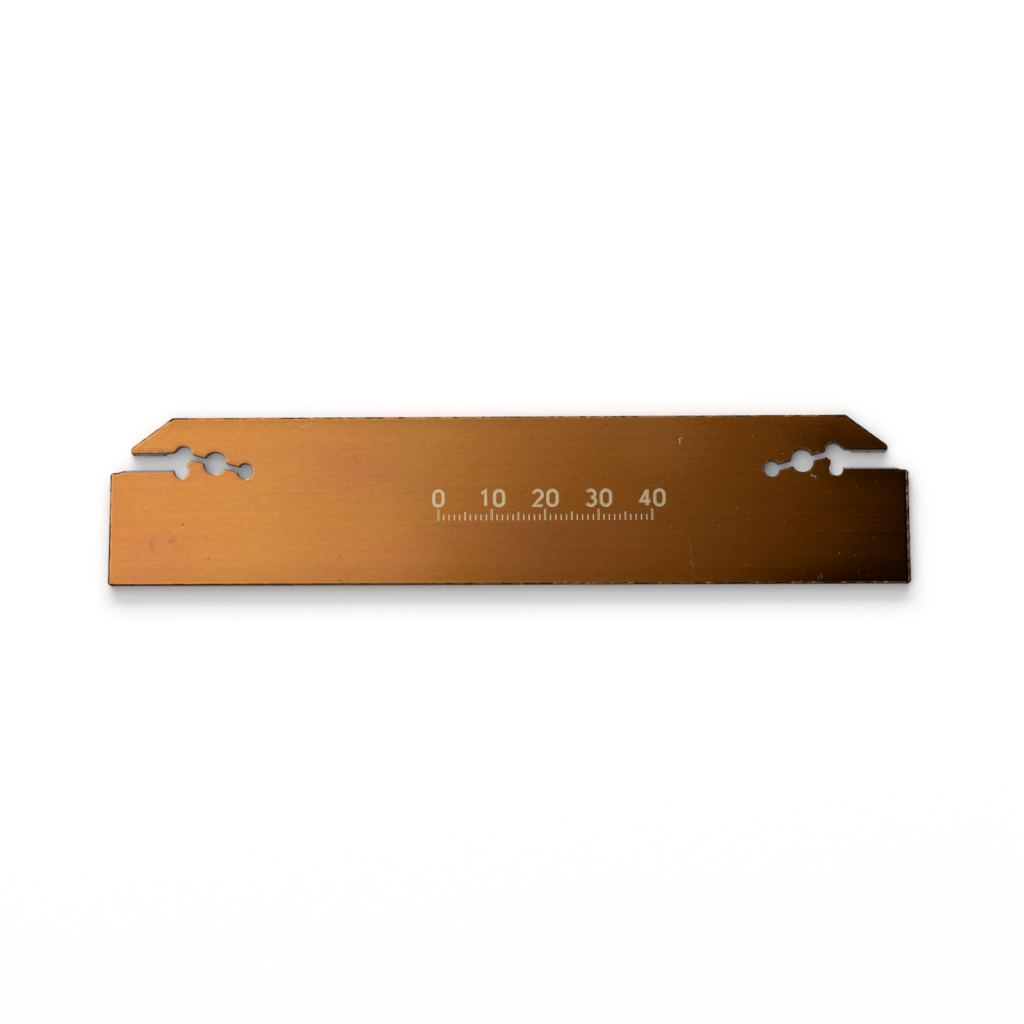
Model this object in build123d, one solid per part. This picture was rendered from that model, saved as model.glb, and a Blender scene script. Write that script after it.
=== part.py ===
from build123d import *
from math import cos, radians, sin, sqrt, tan
import os

# Double-ended parting blade for self-gripping inserts 2 mm wide and 16 mm long.
# One piece of hardened steel, ground to a vee along both long edges so that a
# tool block can clamp it, with a spring-jaw insert pocket at each end.
# The blade lies on its side: X along it, Y towards the pocket edge, Z through it.
# Heights are measured up from the point of the lower vee edge.
# Insets are measured inwards from the end of the blade.

# Body
blade_length = 150.0
blade_height = 32.0          # over the points of both vee edges
blade_thickness = 1.7
edge_vee_angle = 150.0       # between the two flanks of a clamping edge

# Ends
nose_tip_inset = 3.8         # the upper jaw stops this far short of the lower one
nose_tip_radius = 0.95
nose_angle = 37.0            # slant of the upper jaw, to the long edges
jaw_corner_radius = 0.8      # outer corner of the lower jaw
lower_corner_radius = 0.8
outer_edge_radius = 0.45     # around the whole blade, on both sides

# Insert pocket
upper_jaw_height = 6.75      # from the upper edge down to the pocket
pocket_height = 3.75         # between the jaws, at the side of the blade
pocket_depth = 14.55         # inset of the wall that stops the insert
rail_vee_angle = 120.0       # between the two flanks of a rail
jaw_pinch_angle = 0.35       # the upper jaw closes by this towards its tip
rail_setback = 1.5           # inset at which the lower rail starts to rise
rail_ramp_angle = 22.0
rail_ramp_radius = 1.0       # blends the ramp into the jaw and the rail
rail_runout_gap = 0.6        # from the run-out of the upper rail to the rounded corner
rail_runout_angle = 45.0
grinding_allowance = 0.05    # left on each rail before its flanks are ground

# Relief holes in the corners of the pocket
upper_relief_diameter = 3.4
upper_relief_drop = 0.5      # centre below the upper jaw
upper_relief_overrun = 1.0   # how far the hole reaches past the stop wall
lower_relief_diameter = 2.7
lower_relief_lift = 0.15     # centre above the lower jaw
lower_relief_overrun = 0.3
roof_corner_radius = 1.2     # where the upper jaw runs into its relief hole
stop_corner_radius = 0.15
pocket_edge_chamfer = 0.12   # around the relief holes and the spring slit

# Spring slit, from the upper relief hole back through the body
slit_width = 1.1
slit_angle = 15.0            # falls away from the end
key_hole_reach = 6.15        # from the relief hole, along the slit
key_hole_diameter = 4.3
slit_length = 12.1
end_hole_diameter = 3.0

cut_margin = 1.0             # how far a cutter reaches past what it cuts
tolerance = 0.001            # for picking corners by their place

half_length = blade_length / 2
half_thickness = blade_thickness / 2
roof_height = blade_height - upper_jaw_height
seat_height = roof_height - pocket_height
upper_relief_radius = upper_relief_diameter / 2
lower_relief_radius = lower_relief_diameter / 2
upper_relief_inset = pocket_depth + upper_relief_overrun - upper_relief_radius
lower_relief_inset = pocket_depth + lower_relief_overrun - lower_relief_radius


def vee_depth(across, vee_angle):
    # How far a vee flank falls back at a distance across from its point
    return across / tan(radians(vee_angle / 2))


rail_depth = vee_depth(half_thickness, rail_vee_angle)
seat_point_height = seat_height + rail_depth
mouth_start = nose_tip_inset + nose_tip_radius


def roof_point_height(inset):
    # Point of the upper rail, which the pinch brings lower near the end
    pinch = (pocket_depth - inset) * tan(radians(jaw_pinch_angle))
    return roof_height - rail_depth - pinch


def at(inset, height):
    # A point of the right-hand end
    return half_length - inset, height


def blank_corners():
    # Corners of the right-hand end, lower edge first, each with its radius
    rough_seat = seat_point_height + grinding_allowance
    ramp_end = rail_setback + (rough_seat - seat_height) / tan(radians(rail_ramp_angle))
    mouth_end = mouth_start + cut_margin
    tip_angle = radians(nose_angle - jaw_pinch_angle)
    nose_corner = mouth_start - nose_tip_radius / tan(tip_angle / 2)
    nose_height = roof_point_height(nose_corner) - grinding_allowance
    nose_length = nose_corner + (blade_height - nose_height) / tan(radians(nose_angle))
    return [
        (at(0, 0), lower_corner_radius),
        (at(0, seat_height), jaw_corner_radius),
        (at(rail_setback, seat_height), rail_ramp_radius),
        (at(ramp_end, rough_seat), rail_ramp_radius),
        (at(mouth_end, rough_seat), 0),
        (at(mouth_end, roof_point_height(mouth_end) - grinding_allowance), 0),
        (at(nose_corner, nose_height), nose_tip_radius),
        (at(nose_length, blade_height), 0),
    ]


def blank():
    # Flat plate with both noses, both mouths and rounded outer corners
    right = blank_corners()
    left = [((-x, y), radius) for (x, y), radius in reversed(right)]
    corners = right + left
    points = [point for point, radius in corners]
    radii = [radius for point, radius in corners]
    outline = make_face(FilletPolyline(*points, radius=radii, close=True))
    return extrude(outline, blade_thickness)


def clamping_vees():
    # Long bar whose lower and upper sides are the flanks of the clamping edges
    reach = half_thickness + cut_margin
    depth = vee_depth(reach, edge_vee_angle)
    section = Polyline(
        (0, half_thickness),
        (depth, half_thickness - reach),
        (blade_height - depth, half_thickness - reach),
        (blade_height, half_thickness),
        (blade_height - depth, half_thickness + reach),
        (depth, half_thickness + reach),
        close=True,
    )
    return extrude(Plane.YZ * make_face(section), half_length + cut_margin, both=True)


def outer_edges(plate):
    # Edges around both sides of the plate, apart from those inside the mouths
    edges = plate.edges().filter_by(Plane.XY)
    return [e for e in edges if not seat_height <= e.center().Y <= roof_height]


def rail_cutter():
    # Vee cutter along X that leaves the flanks of the lower rail, point at the origin
    reach = half_thickness + cut_margin
    depth = vee_depth(reach, rail_vee_angle)
    section = Polyline(
        (0, 0),
        (-depth, -reach),
        (pocket_height / 2, -reach),
        (pocket_height / 2, reach),
        (-depth, reach),
        close=True,
    )
    return extrude(Plane.YZ * make_face(section), pocket_depth + cut_margin)


def rail_grinding():
    # What is ground from the rough slot to leave both rails
    inner_x = half_length - lower_relief_inset
    lower_rail = Pos(inner_x, seat_point_height, half_thickness) * rail_cutter()
    upper_rail = Rot(0, 0, -jaw_pinch_angle) * mirror(rail_cutter(), Plane.XZ)
    roof = roof_point_height(lower_relief_inset)
    return lower_rail + Pos(inner_x, roof, half_thickness) * upper_rail


def runout_inset():
    # Where the upper rail has sunk into the jaw, short of the rounded corner
    reach = upper_relief_radius + roof_corner_radius
    drop = upper_relief_drop + roof_corner_radius
    corner_start = upper_relief_inset - sqrt(reach ** 2 - drop ** 2)
    return corner_start - rail_runout_gap


def slot():
    # Rough slot between the jaws, wider where the upper rail has run out
    rough_depth = rail_depth + grinding_allowance
    rail_end = runout_inset() - rough_depth / tan(radians(rail_runout_angle))
    corners = Polyline(
        at(mouth_start, seat_height + rough_depth),
        at(mouth_start, roof_point_height(mouth_start) - grinding_allowance),
        at(rail_end, roof_point_height(rail_end) - grinding_allowance),
        at(runout_inset(), roof_height),
        at(pocket_depth, roof_height),
        at(pocket_depth, seat_height + rough_depth),
        close=True,
    )
    return make_face(corners)


def upper_relief_centre():
    return at(upper_relief_inset, roof_height - upper_relief_drop)


def lower_relief_centre():
    return at(lower_relief_inset, seat_height + lower_relief_lift)


def along_slit(reach):
    # A point on the middle line of the spring slit
    x, y = upper_relief_centre()
    angle = radians(slit_angle)
    return x - reach * cos(angle), y - reach * sin(angle)


def spring_slit():
    # Slit with the hole for the opening key and the hole at its end
    slit = Rectangle(slit_length, slit_width, align=(Align.MAX, Align.CENTER))
    slit = Pos(*upper_relief_centre()) * Rot(0, 0, slit_angle) * slit
    key_hole = Pos(*along_slit(key_hole_reach)) * Circle(key_hole_diameter / 2)
    end_hole = Pos(*along_slit(slit_length)) * Circle(end_hole_diameter / 2)
    return slit + key_hole + end_hole


def pocket_opening():
    # Plan of the whole opening, with its corners rounded
    opening = slot() + spring_slit()
    opening += Pos(*upper_relief_centre()) * Circle(upper_relief_radius)
    opening += Pos(*lower_relief_centre()) * Circle(lower_relief_radius)
    stop_x = half_length - pocket_depth
    stop_corners = [v for v in opening.vertices() if abs(v.X - stop_x) < tolerance]
    opening = fillet(stop_corners, stop_corner_radius)
    roof_corners = [v for v in opening.vertices() if abs(v.Y - roof_height) < tolerance]
    innermost = min(roof_corners, key=lambda v: v.X)
    return fillet(innermost, roof_corner_radius)


def pocket_cut():
    height = blade_thickness + 2 * cut_margin
    return extrude(Pos(0, 0, -cut_margin) * pocket_opening(), height) + rail_grinding()


def pocket_edges(plate):
    # Edges of the relief holes and slits, on both sides of the blade
    first = runout_inset()
    last = pocket_depth + slit_length + end_hole_diameter
    edges = plate.edges().filter_by(Plane.XY)
    return [e for e in edges if first < half_length - abs(e.center().X) < last]


def blade():
    plate = fillet(outer_edges(blank()), outer_edge_radius)
    plate &= clamping_vees()
    cut = pocket_cut()
    plate -= cut
    plate -= mirror(cut, Plane.YZ)
    plate = chamfer(pocket_edges(plate), pocket_edge_chamfer)
    return Pos(0, -blade_height / 2, 0) * plate


os.makedirs("parts", exist_ok=True)
export_step(blade(), "parts/blade.step")
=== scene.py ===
import math

import bmesh
import bpy
from mathutils import Matrix, Vector, noise


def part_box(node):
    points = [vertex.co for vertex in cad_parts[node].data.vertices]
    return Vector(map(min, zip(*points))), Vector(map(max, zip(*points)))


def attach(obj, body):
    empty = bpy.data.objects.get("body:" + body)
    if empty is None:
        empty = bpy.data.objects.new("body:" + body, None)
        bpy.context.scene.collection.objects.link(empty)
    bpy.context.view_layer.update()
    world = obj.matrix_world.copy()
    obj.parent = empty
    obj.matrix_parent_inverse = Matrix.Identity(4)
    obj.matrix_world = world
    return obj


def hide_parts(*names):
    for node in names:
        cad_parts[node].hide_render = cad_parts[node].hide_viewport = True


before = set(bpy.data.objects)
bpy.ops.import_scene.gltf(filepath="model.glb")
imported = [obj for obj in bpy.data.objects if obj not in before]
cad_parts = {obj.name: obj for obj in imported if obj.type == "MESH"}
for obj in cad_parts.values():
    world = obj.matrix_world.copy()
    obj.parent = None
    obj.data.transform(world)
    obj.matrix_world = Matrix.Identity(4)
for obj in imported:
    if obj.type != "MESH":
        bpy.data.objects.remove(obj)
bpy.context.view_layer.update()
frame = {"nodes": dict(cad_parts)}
print("frame loaded:", ", ".join(frame["nodes"]))

mm = 0.001                             # the frame is in metres, the sizes below in millimetres
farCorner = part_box("blade")[1] / mm    # the middle of the underside is at the origin
faceHeight = farCorner.z               # of the upper face


# Short ways to write shader nodes

def feed(tree, value, socket):
    # A socket is linked, anything else is set
    if isinstance(value, bpy.types.NodeSocket):
        tree.links.new(value, socket)
    else:
        socket.default_value = value


def feedAll(tree, sockets, values):
    for name, value in values.items():
        feed(tree, value, sockets[name])


def addNode(tree, kind, settings=None, **inputs):
    node = tree.nodes.new(kind)
    for name, value in (settings or {}).items():
        setattr(node, name, value)
    feedAll(tree, node.inputs, inputs)
    return node


def calc(tree, operation, *values, clamp=False):
    node = addNode(tree, "ShaderNodeMath", {"operation": operation, "use_clamp": clamp})
    for value, socket in zip(values, node.inputs):
        feed(tree, value, socket)
    return node.outputs[0]


def vectorCalc(tree, operation, *values):
    # A distance or a dot product comes out as a plain value
    node = addNode(tree, "ShaderNodeVectorMath", {"operation": operation})
    for value, socket in zip(values, node.inputs):
        feed(tree, value, socket)
    return node.outputs["Value" if operation in ("DISTANCE", "DOT_PRODUCT") else "Vector"]


def scaled(tree, vector, factor):
    node = addNode(tree, "ShaderNodeVectorMath", {"operation": "SCALE"}, Vector=vector, Scale=factor)
    return node.outputs["Vector"]


def product(tree, *values):
    result = values[0]
    for value in values[1:]:
        result = calc(tree, "MULTIPLY", result, value)
    return result


def swing(tree, value, reach):
    # A texture's value is taken about nought instead of about a half
    return product(tree, calc(tree, "SUBTRACT", value, 0.5), reach)


def slanted(tree, x, y, slope):
    return calc(tree, "SUBTRACT", x, product(tree, y, slope))


def apart(tree, value, middle):
    return calc(tree, "ABSOLUTE", calc(tree, "SUBTRACT", value, middle))


def mapRange(tree, kind, *values):
    node = addNode(tree, "ShaderNodeMapRange", {"interpolation_type": kind})
    for value, socket in zip(values, node.inputs):
        feed(tree, value, socket)
    return node.outputs[0]


def linearStep(tree, value, start, end):
    return mapRange(tree, "LINEAR", value, start, end, 0.0, 1.0)


def smoothStep(tree, value, start, end, low=0.0, high=1.0):
    return mapRange(tree, "SMOOTHSTEP", value, start, end, low, high)


def mixColour(tree, mask, under, over):
    # Several sockets of this node share a name, so they are picked by identifier
    node = addNode(tree, "ShaderNodeMix", {"data_type": "RGBA"})
    for name, value in (("Factor_Float", mask), ("A_Color", under), ("B_Color", over)):
        feed(tree, value, next(s for s in node.inputs if s.identifier == name))
    return next(s for s in node.outputs if s.identifier == "Result_Color")


def mixValue(tree, mask, under, over):
    node = addNode(tree, "ShaderNodeMix", {"data_type": "FLOAT"}, Factor=mask, A=under, B=over)
    return node.outputs[0]


def noiseValue(tree, place, scale, detail, roughness=0.5, stretch=None, moved=None):
    if stretch:
        place = vectorCalc(tree, "MULTIPLY", place, stretch)
    if moved:
        place = vectorCalc(tree, "ADD", place, moved)
    look = {"Scale": scale, "Detail": detail, "Roughness": roughness}
    return addNode(tree, "ShaderNodeTexNoise", Vector=place, **look).outputs[0]


def shaken(tree, place, reach, scale, detail, roughness=0.5):
    # The place is moved about in the plane, by up to half the reach each way
    look = {"Scale": scale, "Detail": detail, "Roughness": roughness}
    texture = addNode(tree, "ShaderNodeTexNoise", Vector=place, **look)
    shift = vectorCalc(tree, "SUBTRACT", texture.outputs["Color"], (0.5, 0.5, 0.5))
    return vectorCalc(tree, "ADD", place, vectorCalc(tree, "MULTIPLY", shift, (reach, reach, 0.0)))


def fromRun(tree, place, start, stop):
    # How far a place lies from the straight run between two points
    run = vectorCalc(tree, "SUBTRACT", stop, start)
    way = vectorCalc(tree, "SUBTRACT", place, start)
    share = calc(tree, "DIVIDE", vectorCalc(tree, "DOT_PRODUCT", way, run),
                 vectorCalc(tree, "DOT_PRODUCT", run, run), clamp=True)
    return vectorCalc(tree, "DISTANCE", way, scaled(tree, run, share))


origin = (0.0, 0.0, 0.0)


def makeGroup(name, inputs, outputs):
    # Inputs are given as name: default, where three numbers make a vector
    tree = bpy.data.node_groups.new(name, "ShaderNodeTree")
    for label, default in inputs.items():
        kind = "NodeSocketVector" if isinstance(default, tuple) else "NodeSocketFloat"
        tree.interface.new_socket(label, in_out="INPUT", socket_type=kind).default_value = default
    for label in outputs:
        tree.interface.new_socket(label, in_out="OUTPUT", socket_type="NodeSocketFloat")
    return tree, tree.nodes.new("NodeGroupInput").outputs, tree.nodes.new("NodeGroupOutput").inputs


def useGroup(tree, group, **inputs):
    node = tree.nodes.new("ShaderNodeGroup")
    node.node_tree = group
    feedAll(tree, node.inputs, inputs)
    return node.outputs


def emptyMaterial(name):
    # Gives the material, its node tree, and the sockets of its shader
    material = bpy.data.materials.new(name)
    material.use_nodes = True
    tree = material.node_tree
    tree.nodes.clear()
    shader = addNode(tree, "ShaderNodeBsdfPrincipled")
    out = addNode(tree, "ShaderNodeOutputMaterial")
    tree.links.new(shader.outputs[0], out.inputs["Surface"])
    return material, tree, shader.inputs


def millimetres(tree):
    return scaled(tree, addNode(tree, "ShaderNodeTexCoord").outputs["Object"], 1 / mm)


def axes(tree, vector):
    return addNode(tree, "ShaderNodeSeparateXYZ", Vector=vector).outputs


def addObject(name, data):
    thing = bpy.data.objects.new(name, data)
    bpy.context.collection.objects.link(thing)
    return thing


# Effects that several finishes share

def makeBrushedGrain():
    # Fine lines along X from lengthwise grinding, with broader streaks among them
    tree, given, result = makeGroup(
        "brushedGrain",
        {"Place": origin, "Length": 5.0, "Width": 0.1, "Waviness": 0.15},
        ["Lines", "Streaks"],
    )
    drift = noiseValue(tree, given["Place"], scale=0.05, detail=1.0)
    lift = addNode(tree, "ShaderNodeCombineXYZ", Y=swing(tree, drift, given["Waviness"]))
    place = vectorCalc(tree, "ADD", given["Place"], lift.outputs[0])
    for name, longer, wider, detail in (("Lines", 1.0, 1.0, 2.0), ("Streaks", 14.0, 2.0, 3.0)):
        along = calc(tree, "DIVIDE", 1.0, product(tree, given["Length"], longer))
        across = calc(tree, "DIVIDE", 1.0, product(tree, given["Width"], wider))
        scale = addNode(tree, "ShaderNodeCombineXYZ", X=along, Y=across, Z=across)
        stretched = vectorCalc(tree, "MULTIPLY", place, scale.outputs[0])
        tree.links.new(noiseValue(tree, stretched, 1.0, detail, roughness=0.6), result[name])
    return tree


def makeSpecks():
    # Scattered specks, seen from above: one to a cell, most of them left out
    tree, given, result = makeGroup(
        "specks",
        {"Place": origin, "Spacing": 3.0, "Size": 0.15, "Share": 0.4},
        ["Mask", "Tone"],
    )
    moved = shaken(tree, given["Place"], reach=0.60, scale=4.0, detail=2.0)
    cells = addNode(tree, "ShaderNodeTexVoronoi", {"voronoi_dimensions": "2D"}, Vector=moved,
                    Scale=calc(tree, "DIVIDE", 1.0, given["Spacing"]))
    tone = addNode(tree, "ShaderNodeSeparateColor", Color=cells.outputs["Color"]).outputs
    reach = product(tree, cells.outputs["Distance"], given["Spacing"])
    # From 0.4 to 1.4 times the given size, and soft over the outer half
    size = product(tree, given["Size"], calc(tree, "ADD", 0.4, tone["Green"]))
    spot = smoothStep(tree, reach, product(tree, size, 0.5), size, 1.0, 0.0)
    kept = calc(tree, "LESS_THAN", tone["Red"], given["Share"])
    tree.links.new(product(tree, spot, kept), result["Mask"])
    tree.links.new(tone["Blue"], result["Tone"])
    return tree


def makeStrokeMark():
    # A straight scratch or rub from one point to another
    tree, given, result = makeGroup(
        "strokeMark",
        {
            "Place": origin,
            "From": origin,
            "To": (1.0, 0.0, 0.0),
            "Width": 0.1,
            "Softness": 0.1,
        },
        ["Mask"],
    )
    off = fromRun(tree, given["Place"], given["From"], given["To"])
    half = product(tree, given["Width"], 0.5)
    end = calc(tree, "ADD", half, given["Softness"])
    tree.links.new(smoothStep(tree, off, half, end, 1.0, 0.0), result["Mask"])
    return tree


def makeRingMark():
    # Strongest on a circle, fading to both sides
    tree, given, result = makeGroup(
        "ringMark",
        {"Place": origin, "Centre": origin, "Radius": 1.0, "Width": 0.5},
        ["Mask"],
    )
    off = apart(tree, vectorCalc(tree, "DISTANCE", given["Place"], given["Centre"]), given["Radius"])
    tree.links.new(smoothStep(tree, off, 0.0, given["Width"], 1.0, 0.0), result["Mask"])
    return tree


# Plan of the blade, in millimetres, folded over so that both ends are at positive x
plan = {
    "halfLength": farCorner.x,
    "halfHeight": farCorner.y,
    "slantTop": (63.34, farCorner.y),   # where the slant of the upper jaw meets the upper edge
    "slantInward": (-0.6018, -0.7987),
    "stop": 60.45,                  # x of the wall that stops the insert
    "seat": 5.5,                    # y of the lower jaw
    "roof": 9.25,                   # y of the upper jaw
    "ramp": (73.6, 72.3),           # x over which the rounded edge climbs the ramp
    "rampRise": 0.35,
    "rampEnds": (72.2, 71.8),       # x over which that edge then ends
    "jawEnds": (6.5, 6.7),          # and y above which there is none
    "beyond": 20.0,                 # reach of places that an edge doesn't concern
    "endStrip": 2.0,                # width of the strip at each end, up to just above the lower jaw
    "endTop": 5.7,
    "slit": ((61.15, 8.75), (49.46, 5.62), 0.55),
    "holes": [(61.15, 8.75, 1.70), (61.50, 5.65, 1.35), (55.21, 7.16, 2.15), (49.46, 5.62, 1.50)],
}
slotMiddle = (plan["seat"] + plan["roof"]) / 2


def foldOver(tree, place):
    x, y, z = axes(tree, place)
    x = calc(tree, "ABSOLUTE", x)
    return x, y, addNode(tree, "ShaderNodeCombineXYZ", X=x, Y=y).outputs[0]


def makeOutlineReach():
    # How far a point lies inside the outer edge of the blade
    tree, given, result = makeGroup("outlineReach", {"Place": origin}, ["Reach"])
    x, y, folded = foldOver(tree, given["Place"])
    fromCorner = vectorCalc(tree, "SUBTRACT", folded, (*plan["slantTop"], 0.0))
    slant = vectorCalc(tree, "DOT_PRODUCT", fromCorner, (*plan["slantInward"], 0.0))
    side = calc(tree, "SUBTRACT", plan["halfHeight"], calc(tree, "ABSOLUTE", y))
    end = calc(tree, "SUBTRACT", plan["halfLength"], x)
    nearest = calc(tree, "MINIMUM", calc(tree, "MINIMUM", side, end), slant)
    # The rounded edge of the lower jaw goes on round its corner and up the ramp
    mouth = smoothStep(tree, x, *plan["ramp"], plan["seat"], plan["seat"] + plan["rampRise"])
    jaw = calc(tree, "SUBTRACT", mouth, y)
    for value, ends in ((x, plan["rampEnds"]), (y, plan["jawEnds"])):
        jaw = calc(tree, "ADD", jaw, smoothStep(tree, value, *ends, 0.0, plan["beyond"]))
    tree.links.new(calc(tree, "MINIMUM", nearest, jaw), result["Reach"])
    return tree


def makeOpeningReach():
    # How far a point lies from the nearest hole, slit or slot
    tree, given, result = makeGroup("openingReach", {"Place": origin}, ["Reach"])
    x, y, folded = foldOver(tree, given["Place"])
    off = calc(tree, "SUBTRACT", apart(tree, y, slotMiddle), plan["roof"] - slotMiddle)
    nearest = calc(tree, "MAXIMUM", off, calc(tree, "SUBTRACT", plan["stop"], x))
    for holeX, holeY, radius in plan["holes"]:
        reach = vectorCalc(tree, "DISTANCE", folded, (holeX, holeY, 0.0))
        nearest = calc(tree, "MINIMUM", nearest, calc(tree, "SUBTRACT", reach, radius))
    start, stop, half = plan["slit"]
    reach = calc(tree, "SUBTRACT", fromRun(tree, folded, (*start, 0.0), (*stop, 0.0)), half)
    tree.links.new(calc(tree, "MINIMUM", nearest, reach), result["Reach"])
    return tree


brushedGrain = makeBrushedGrain()
outlineReach = makeOutlineReach()
openingReach = makeOpeningReach()
specks = makeSpecks()
strokeMark = makeStrokeMark()
ringMark = makeRingMark()
print("shared effects ready")


# Bronze coat on the ground steel

coatLook = {
    "bright": (0.720, 0.288, 0.066, 1.0),     # towards the left end
    "deep": (0.640, 0.168, 0.002, 1.0),       # towards the right end, darker partly as painted shade
    "rosy": (0.690, 0.245, 0.080, 1.0),       # heat-tinted patches
    "darkAndShade": (0.060, 0.028, 0.010, 1.0),      # the outermost strip along the edges, partly rougher edge and partly painted shade; also the dark specks
    "darkAndShadeDeep": (0.014, 0.005, 0.002, 1.0),  # and towards the right end
    "gapLeft": (0.360, 0.160, 0.060, 1.0),    # gaps in that strip, at the left and at the right
    "gapRight": (0.110, 0.052, 0.018, 1.0),
    "gold": (0.860, 0.440, 0.150, 1.0),       # edges polished by handling and brightened as painted highlight, rims and glints of painted highlight, and pale specks
    "copper": (0.165, 0.080, 0.042, 1.0),     # the rough right-hand end
    "wornAndGlint": (0.860, 0.700, 0.460, 1.0),       # where the coat is rubbed through, and one painted glint
    "stain": (0.330, 0.170, 0.060, 1.0),
    "heatAndShade": (0.380, 0.150, 0.085, 1.0),       # heat colour round the openings, deeper as painted shade on their side away from the light
    "grazing": (0.50, 0.30, 0.16, 1.0),       # reflections at a flat angle
    "anisotropy": 0.75,
    "roughness": 0.10,
    "roughStreaks": 0.08,      # more of it in the streaks of the grinding,
    "roughCoarse": 0.40,       # on the dark strip and the right-hand end,
    "roughRubbed": 0.28,       # and where the coat is rubbed or specked, and on the painted highlight of the rims
    "stripDullness": 0.85,     # how much less metallic the dark strip is
    "fade": (-22.0, 62.0),     # x from where to where the tone deepens, partly as painted shade
    "fadeSlope": 0.75,         # and how it slants over y
    "fadePower": 0.7,
    "rosySlope": 0.006,        # more rosy patches lower down
    "darkerEndSlope": 0.45,       # of the border of the darker right-hand end, partly painted shade
    "darkerEndUneven": 25.0,
    "jawsFrom": 7.0,           # the painted shade of the slot darkens what lies above this y sooner
    "edgeUneven": 0.35,        # of the strips along the outline, in millimetres
    "polishHighlightAt": 0.50,        # middle of the polished line with its painted highlight, in from the outline
    "widerJaws": 0.25,         # how much wider the dark strip is on the right jaws
    "closed": 0.8,             # how far its gaps close there and low at the left
    "sideGaps": 0.45,          # strength of the gaps on the long sides
    "darkLineAt": 0.82,        # of the painted shade line, in from the right-hand end
    "litStep": (0.2, -0.1, 0.0),   # a step away from openings that lie to the left
    "grain": {"Length": 2.6, "Width": 0.10, "Waviness": 0.2},
    "contrast": {"lines": 0.30, "streaks": 0.25, "mottle": 0.36},
    "bend": {"reach": 1.1, "scale": 0.9, "detail": 3.0, "roughness": 0.6},
    "paleSpecks": {"Spacing": 1.7, "Size": 0.10},
    "darkSpecks": {"Spacing": 5.0, "Size": 0.17, "Share": 0.16},
    "darkSpecksMoved": (1.7, 9.1, 0.0),
    "darkSpecksStrength": 0.6,
    "ring": {"Centre": (-64.5, -8.2, faceHeight), "Radius": 2.35, "Width": 0.7},

    # Painted shade: the coat darkens towards these edges, over how many millimetres, and to which tone by x
    "edgeShades": {
        "slot": {"reach": (0.5, 6.5), "x": (52.0, 64.0), "tones": (1.00, 0.53)},
        "lower": {"reach": (0.0, 5.8), "x": (40.0, 60.0), "tones": (0.90, 0.44)},
        "upper": {"reach": (0.0, 4.0), "x": (2.0, 12.0), "tones": (0.85, 1.00)},
        "end": {"reach": (0.0, 4.0), "x": (60.0, 70.0), "tones": (1.00, 0.75)},
    },
    # Broad patches: middle, radius, how much lighter, and how much nearer to the bright colour
    "broadPatches": [
        ((29.5, 12.0), 13.0, 0.10, 0.20),
        ((-21.0, -10.0), 15.0, 0.10, 0.08),
        ((9.0, -8.0), 16.0, -0.08, -0.06),
    ],
    # Marks of use on the upper face, and one painted glint: the two ends of each, its width, softness and
    # strength
    "marks": {
        "wornAndGlint": [
            ((-39.2, 13.8), (-37.9, 14.4), 0.05, 0.16, 0.34),
            ((-37.8, 13.9), (-36.9, 14.7), 0.04, 0.14, 0.30),
            ((32.3, 11.4), (32.3, 10.4), 0.09, 0.11, 0.95),
            ((32.3, 11.4), (32.7, 11.6), 0.08, 0.10, 0.80),
            ((56.7, 4.7), (57.0, 4.2), 0.05, 0.12, 0.70),
            ((57.0, 4.2), (57.6, 3.8), 0.04, 0.12, 0.70),
            # A painted highlight, not wear: the glint on the rim of the relief hole
            ((60.0, 8.5), (60.4, 7.9), 0.08, 0.10, 0.60),
            ((33.9, -7.0), (34.1, -10.3), 0.03, 0.10, 0.24),
            ((34.1, -10.3), (34.7, -14.2), 0.02, 0.10, 0.20),
            ((50.6, 12.9), (51.9, 9.6), 0.01, 0.09, 0.16),
            ((57.8, -14.5), (57.8, -15.1), 0.07, 0.09, 0.50),
            ((58.3, -14.2), (58.3, -15.1), 0.07, 0.09, 0.55),
            ((-68.1, -1.2), (-68.0, -1.4), 0.08, 0.10, 0.70),
        ],
        "stain": [
            ((-28.9, 8.4), (-28.1, 7.1), 0.20, 0.35, 0.35),
            ((-63.3, -7.6), (-63.1, -7.6), 0.25, 0.65, 0.66),
            ((4.3, 11.9), (4.5, 11.7), 0.10, 0.25, 0.70),
        ],
    },
}

coatTextures = {
    "clouds": {"scale": 0.05, "detail": 3.0, "stretch": (0.6, 1.6, 1.0)},
    "mottle": {"scale": 1.2, "detail": 4.0, "roughness": 0.75, "stretch": (0.7, 1.0, 1.0)},
    "patches": {"scale": 0.9, "detail": 2.0},
    "ragged": {"scale": 0.9, "detail": 4.0, "roughness": 0.65},
    "dashes": {"scale": 0.35, "detail": 3.0, "roughness": 0.7, "moved": (31.0, 7.0, 0.0)},
    "glints": {"scale": 1.6, "detail": 2.0, "moved": (3.0, 51.0, 0.0)},
    "breaks": {"scale": 5.0, "detail": 2.0},
    "ringBreaks": {"scale": 0.45, "detail": 2.0},
}

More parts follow.
